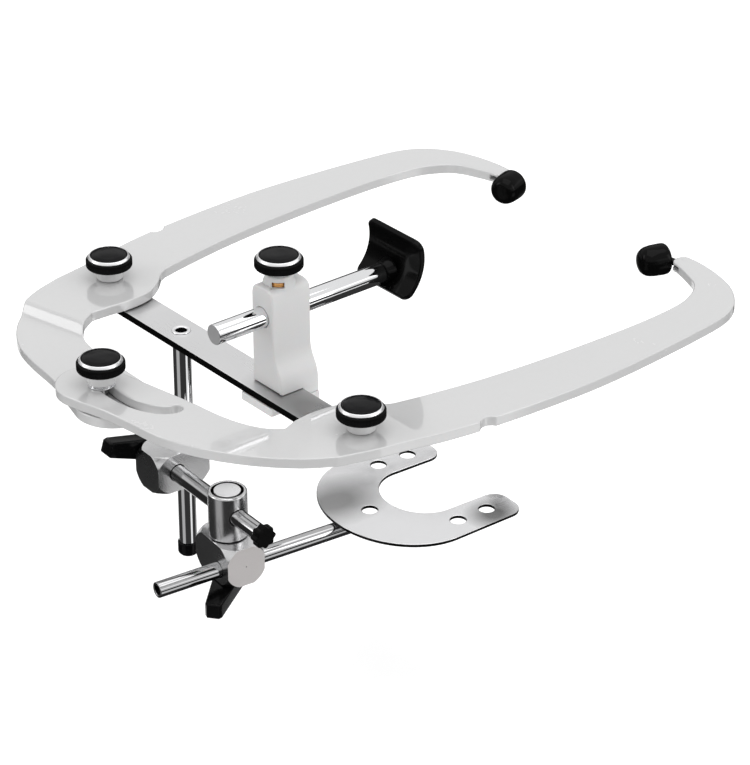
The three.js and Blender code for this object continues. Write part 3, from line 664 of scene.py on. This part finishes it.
ON_FRONT = Matrix.Translation((0, 15, 0)) @ Matrix.Rotation(math.pi / 2, 4, "X")
right_side = smooth([(34.3, 0.3), (34.2, 3), (33.2, 6.8), (30.6, 12), (29.8, 18), (29.8, 36)], 8)
shoulder_right = smooth([(29.8, 36.5), (29.3, 38.6), (28, 39.9), (26, 40.4)], 6)
shoulder_left = smooth([(21.3, 40.4), (19.3, 39.9), (18, 38.6), (17.5, 36.5)], 6)
outline = tidy([(17.5, 0.3), *right_side, *shoulder_right, *shoulder_left])
tower = plate("nasion_tower", [outline], 0, 17.7, 0.9, ON_FRONT)
leg = block("leg", 17.9, 33.9, 7.8, 14.8, -3.3, 3)
combine(tower, leg, "UNION")
neck_place = at(23.5, 5.5)
neck = lathe("neck", [(0, 30), (6, 30), (6, 40.2), (5.9, 41), (5.25, 42.6), (5.25, 44), (0, 44)],
             neck_place, 80,
             soft=0.6)
combine(tower, neck, "UNION")
combine(tower, rod("hole", "y", 4.1, -10, 30, at(23.6, 0, 28.4)), "DIFFERENCE")
combine(tower, rod("hole", "z", 4.7, 38.2, 42.3, neck_place), "DIFFERENCE")
window = block("window", 0, 12, -2.3, 2.3, 40.1, 42.2, at(23.5, 5.5, 0, -42))
combine(tower, window, "DIFFERENCE")
finish_mesh(tower.data, 40)
tower.modifiers.new("even", "WEIGHTED_NORMAL").keep_sharp = True
dress(tower, "nasion_block", BLOCK_WHITE)
jaw_corners = [(16.4, -7.5), (34.6, -7.5), (34.6, 15), (16.4, 15)]
jaw = plate("jaw_body", [cross_round(jaw_corners, 0.8, 4, True)], -6.9, -3.4, 0.4)
for x in (21.5, 30.3):
    combine(jaw, rod("sink", "z", 2.7, -9, -5.1, at(x, 11.4)), "DIFFERENCE")
finish_mesh(jaw.data, 40)
jaw.modifiers.new("even", "WEIGHTED_NORMAL").keep_sharp = True
dress(jaw, "nasion_jaw", BLOCK_WHITE)
for index, x in enumerate((21.5, 30.3)):
    screw(f"jaw_screw_{index + 1}", at(x, 11.4), 2.4, -6.7, -5.3, 1, 1.2, 0.7)
thread = [(2.25, 38.5)]
for i in range(5):
    thread += [(4.2, 38.6 + i * 0.7), (4.5, 38.8 + i * 0.7), (4.5, 39.0 + i * 0.7), (4.2, 39.2 + i * 0.7)]
insert = lathe("brass_thread", [*thread, (2.25, 42)], neck_place, 64, True, sharp=60)
dress(insert, "nasion_thread_insert", BRASS)
screw("nasion_screw", neck_place, 2.1, 32.3, 33, 49.6, 2.1, 0)
knob("nasion", at(23.5, 5.5, 41.1), 3.1)

nasion_place = at(23.6, 0, 28.4) @ AXES["y"]
nasion_rod = lathe("nasion_bar", [(0, -24.5), (3.9, -24.5), (3.9, 53), (0, 53)], nasion_place, 96,
                   soft=0.45)
dress(nasion_rod, "nasion_rod", CHROME)
paint(nasion_rod, ROD_END, lambda centre, normal: centre.y < -24.4)

PAD_RADIUS = 18.5


def pad_bend(co):
    angle = co.y / PAD_RADIUS
    reach = PAD_RADIUS + co.z
    return Vector((co.x, reach * math.cos(angle) - PAD_RADIUS + 4.3, reach * math.sin(angle)))


pad_outline = tidy([*arc(11.5, 9.3, 3.6, 0, 90, 12), *arc(-11.5, 9.3, 3.6, 90, 180, 12),
                    *arc(-11.5, -9.3, 3.6, 180, 270, 12), *arc(11.5, -9.3, 3.6, 270, 360, 12)])
pad_cuts = [((0, -13 + i, 0), (0, 1, 0)) for i in range(1, 26)]
pad_place = Matrix.Translation((23.6, 56.9, 33.1)) @ Matrix.Rotation(math.radians(-17), 4, "X")
pad = plate("nasion_saddle", [pad_outline], -2.2, 0, 0.5, pad_place, pad_cuts, pad_bend)
dress(pad, "nasion_pad", RUBBER)
hub = lathe("nasion_hub", [(0, 53.2), (4.1, 53.2), (4.3, 54.2), (5.2, 57.3), (0, 57.3)],
            nasion_place, 80, soft=0.5, sharp=60)
hub.data.materials.append(RUBBER)
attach(hub, "nasion_pad")

# ---------------------------------------------------------------- transfer jig


def clamp_solid(name, left, right, place, body):
    """A square bar along local X whose ends are turned down to a disc."""
    disc, full, run = 8.6, 11.42, 5.4
    steps = 12
    turn = [(disc + (full - disc) * i / steps + 0.3 * math.sin(i / steps * math.pi), run * i / steps)
            for i in range(steps + 1)]
    profile = [(0, left), *[(r, left + h) for r, h in turn],
               *[(r, right - h) for r, h in reversed(turn)], (0, right)]
    item = block(name, left, right, -8, 8, -8, 8, place @ body)
    combine(item, lathe("turned", profile, place @ body @ AXES["x"], 144), "INTERSECT")
    return item


jig = at(-30.6, 0, -55.5, -3)
jig_clamp = clamp_solid("jig_clamp_body", -17.6, 5.9, jig, Matrix.Rotation(math.pi / 2, 4, "Z"))
combine(jig_clamp, rod("hole", "z", 3.75, -20, 20, jig), "DIFFERENCE")
combine(jig_clamp, rod("hole", "x", 3.7, -5.4, 20, jig @ at(0, -8.8)), "DIFFERENCE")
combine(jig_clamp, rod("hole", "x", 1.9, -20, 0, jig), "DIFFERENCE")
soften(jig_clamp, 0.18)
dress(jig_clamp, "jig_clamp", CLAMP_STEEL)
front = (jig @ Vector((0, -17.6, 0, 1))).to_3d()
jig_y = (jig.to_3x3() @ Vector((0, 1, 0)))
paint(jig_clamp, DARK_FACE, lambda centre, normal: (centre - front).dot(jig_y) < 0.05)


def lever(node, place, length, degrees):
    """A wing lever about local X: a round hub that runs into a tapered, faceted wing."""
    outline = tidy([*arc(0, 0, 5.6, 0, 180, 28), (-4.7, -9), (-3.3, 1.4 - length), (-2.4, -length),
                    (2.4, -length), (3.3, 1.4 - length), (4.7, -9)])
    stand = Matrix.Rotation(math.pi / 2, 4, "Z") @ Matrix.Rotation(math.pi / 2, 4, "X")
    turned = place @ Matrix.Rotation(math.radians(degrees), 4, "X")
    item = plate(f"{node}_wing", [outline], 0, 6.2, 0.7, turned @ stand, resolution=1)
    dress(item, node, BLACK_GLOSS)


hub_place = jig @ at(-14.6, 0)
lever("jig_clamp_lever", hub_place, 30, -107)
dress(rod("jig_screw_body", "x", 1.7, 2, 10.8, hub_place, 40), "jig_clamp_screw", SCREW_STEEL)
rod_place = jig @ at(0, -8.8)
jig_rod = lathe("jig_bar", [(0, -5), (3.4, -5), (3.4, 63.3), (0, 63.3)], rod_place @ AXES["x"], 96,
                soft=0.3)
# Painted shade: the jig rod takes the darker chrome.
dress(jig_rod, "jig_rod", SHADED_CHROME)
lobes = [((4.25 + 0.35 * math.cos(8 * a)) * math.cos(a), (4.25 + 0.35 * math.cos(8 * a)) * math.sin(a))
         for a in (2 * math.pi * i / 160 for i in range(160))]
jig_knob = plate("jig_thumb_knob", [lobes], 0, 4, 0.6, jig @ at(63.5, -8.8) @ AXES["x"])
dress(jig_knob, "jig_rod_knob", BLACK_MATTE)

barrel_place = jig @ at(42.1, -8.8, 55.5)
barrel_axis = barrel_place.translation
barrel = lathe("barrel_body", [(0, -65.5), (7.5, -65.5), (7.5, -47.3), (6.9, -46.7), (6.2, -46.7),
                                (6.2, -49.1), (0, -49.1)],
               barrel_place, 128, soft=0.3)
combine(barrel, rod("hole", "x", 3.75, -20, 20, barrel_place @ at(0, 0, -55.5)), "DIFFERENCE")
combine(barrel, rod("hole", "z", 2.7, -67, -60.5, barrel_place), "DIFFERENCE")
finish_mesh(barrel.data, 40)
dress(barrel, "barrel", CLAMP_STEEL)
# Painted shade: the groove round the barrel top's plug is painted near-black.
paint(barrel, RECESS_SHADE,
      lambda centre, normal: -49.3 < centre.z < -47 and (centre - barrel_axis).xy.length < 6.3)
plug = lathe("barrel_top", [(0, -48.9), (5.15, -48.9), (5.15, -46.75), (0, -46.7)], barrel_place, 96,
             soft=0.25)
dress(plug, "barrel_plug", RING)

# ---------------------------------------------------------------- bite fork

fork = barrel_place @ at(0, 0, 0, -3.5)
fork_clamp = clamp_solid("fork_clamp_body", -11.2, 13, fork @ at(0, 0, -73.9), Matrix())
combine(fork_clamp, rod("hole", "y", 3.4, -20, 20, fork @ at(5.9, 0, -76.1)), "DIFFERENCE")
combine(fork_clamp, rod("hole", "z", 2.5, -69.5, -60, fork), "DIFFERENCE")
combine(fork_clamp, rod("hole", "z", 1.9, -95, -68.9, fork), "DIFFERENCE")
combine(fork_clamp, rod("punch", "x", 0.3, 12.5, 14, fork @ at(0, 0, -73.9), 16), "DIFFERENCE")
soften(fork_clamp, 0.18)
dress(fork_clamp, "fork_clamp", CLAMP_STEEL)
end_at = (fork @ Vector((13, 0, 0, 1))).to_3d()
fork_x = fork.to_3x3() @ Vector((1, 0, 0))
paint(fork_clamp, END_FACE, lambda centre, normal: (centre - end_at).dot(fork_x) > -0.05)
dress(rod("swivel_body", "z", 2.4, -69.4, -61, fork, 48), "swivel_pin", SCREW_STEEL)
fork_hub = fork @ at(0, 0, -88.5) @ Matrix.Rotation(-math.pi / 2, 4, "Y")
lever("fork_clamp_lever", fork_hub, 25, -45)
dress(rod("fork_screw_body", "z", 1.7, -86.5, -69.7, fork, 40), "fork_clamp_screw", SCREW_STEEL)

stem = fork @ at(5.9, 0, -76.1)
fork_rod = lathe("fork_stem", [(0, -25.6), (2.1, -25.6), (2.1, -34.6), (3.1, -34.6), (3.1, 55), (0, 55)],
                 stem @ AXES["y"], 96, soft=0.35)
# Painted shade: the fork stem takes the darker chrome.
dress(fork_rod, "fork_rod", SHADED_CHROME)
stem_back = stem.inverted()
# Painted shade: the bore in the fork stem's front end is painted near-black.
paint(fork_rod, RECESS_SHADE, lambda centre, normal: (stem_back @ centre).y < -25.5 and
      (stem_back @ centre).xz.length < 2.15)
horseshoe = tidy([*arc(0, 30.5, 36, 180, 360, 72, 30.5), *arc(29, 58.6, 6, 0, 90, 14),
                  *arc(23.5, 58.6, 6, 90, 180, 14), *arc(0, 40.3, 17.5, 360, 180, 48, 15.5),
                  *arc(-23.5, 58.6, 6, 0, 90, 14),
                  *arc(-29, 58.6, 6, 90, 180, 14)])
holes = [arc(x, y, 3.2, 0, 350, 35) for x, y in ((0, 16), (-26, 39), (26, 39), (-25.7, 53), (25.7, 53))]
fork_place = stem @ Matrix.Translation((0, 73.2, 0)) @ at(0, 0, 0, 3) @ Matrix.Translation((0, -30, 0))
fork_plate = plate("bite_plate", [horseshoe, *holes], 3.3, 4.7, 0.3, fork_place, resolution=2)
dress(fork_plate, "fork_plate", FORK_STEEL)
# Painted shade: the bite fork's side faces are painted near-black.
paint(fork_plate, SHADE_EDGE, lambda centre, normal: abs(normal.z) < 0.55)

# ---------------------------------------------------------------- studio

FLOOR_Z = -0.135
floor_mesh = bpy.data.meshes.new("floor")
floor_corners = [(-9, -9, FLOOR_Z), (9, -9, FLOOR_Z), (9, 9, FLOOR_Z), (-9, 9, FLOOR_Z)]
floor_mesh.from_pydata(floor_corners, [], [(0, 1, 2, 3)])
floor = new_object("floor", floor_mesh)
floor_look = Nodes("floor")
floor_tone = floor_look.mix(floor_look.noise(3), (0.88, 0.88, 0.88), (0.9, 0.9, 0.9))
floor_look.join(floor_tone, floor_look.shader.inputs["Base Color"])
floor_look.shader.inputs["Roughness"].default_value = 0.9
floor_look.shader.inputs["Emission Color"].default_value = (1, 1, 1, 1)
floor_look.shader.inputs["Emission Strength"].default_value = 0.3
floor.data.materials.append(floor_look.material)
floor.visible_glossy = False


def lamp(name, place, target, size, power):
    data = bpy.data.lights.new(name, "AREA")
    data.shape = "RECTANGLE"
    data.size, data.size_y = size
    data.energy = power
    item = bpy.data.objects.new(name, data)
    scene.collection.objects.link(item)
    item.location = place
    item.rotation_euler = (Vector(target) - Vector(place)).to_track_quat("-Z", "Y").to_euler()


lamp("top", (0.1, 0.1, 1.6), (0, 0.05, 0), (1.6, 1.6), 9)
lamp("left", (-0.9, -1.3, 0.8), (0, 0, 0), (0.5, 1.2), 4)
lamp("right", (1.5, 0.9, 0.7), (0, 0.05, 0), (0.4, 1.2), 3)

world = bpy.data.worlds.new("studio")
scene.world = world
world.use_nodes = True
tree = world.node_tree
links = tree.links
split = tree.nodes.new("ShaderNodeSeparateXYZ")
links.new(tree.nodes.new("ShaderNodeTexCoord").outputs["Generated"], split.inputs[0])


def maths(how, a, b=0.0):
    node = tree.nodes.new("ShaderNodeMath")
    node.operation = how
    for socket, value in zip(node.inputs, (a, b)):
        if isinstance(value, (int, float)):
            socket.default_value = value
        else:
            links.new(value, socket)
    return node.outputs[0]


def between(value, low, high, soft):
    """1 between low and high, falling to 0 over soft on each side."""
    distance = maths("ABSOLUTE", maths("SUBTRACT", value, (low + high) / 2))
    return maths("MINIMUM", 1.0, maths("MAXIMUM", 0.0, maths("DIVIDE", maths(
        "SUBTRACT", (high - low) / 2 + soft, distance), soft)))


up = split.outputs["Z"]
bearing = maths("MULTIPLY", maths("ARCTAN2", split.outputs["Y"], split.outputs["X"]), 180 / math.pi)
# Dark at the horizon and bright overhead. Each softbox is given by its bearings from and to and their
# softness in degrees, its heights from and to, and its strength.
light = maths("ADD", 0.035, maths("MULTIPLY", between(up, 0.34, 1.2, 0.14), 0.82))
SOFTBOXES = (
    (0, 75, 12, 0.04, 0.4, 0.75),
    (10, 30, 5, -0.62, -0.3, 0.9),
    (-105, -72, 8, -0.7, 0.1, 0.4),
    (150, 172, 6, -0.7, -0.1, 0.8),
    (-170, -150, 6, -0.2, 0.3, 0.5),
    (95, 110, 4, -0.6, 0.2, 0.4),
)
for low, high, soft, bottom, top, value in SOFTBOXES:
    box = maths("MULTIPLY", between(bearing, low, high, soft), between(up, bottom, top, 0.06))
    light = maths("ADD", light, maths("MULTIPLY", box, value))
tree.nodes["Background"].inputs["Color"].default_value = (1, 1, 1, 1)
links.new(light, tree.nodes["Background"].inputs["Strength"])
scene.view_settings.view_transform = "Standard"
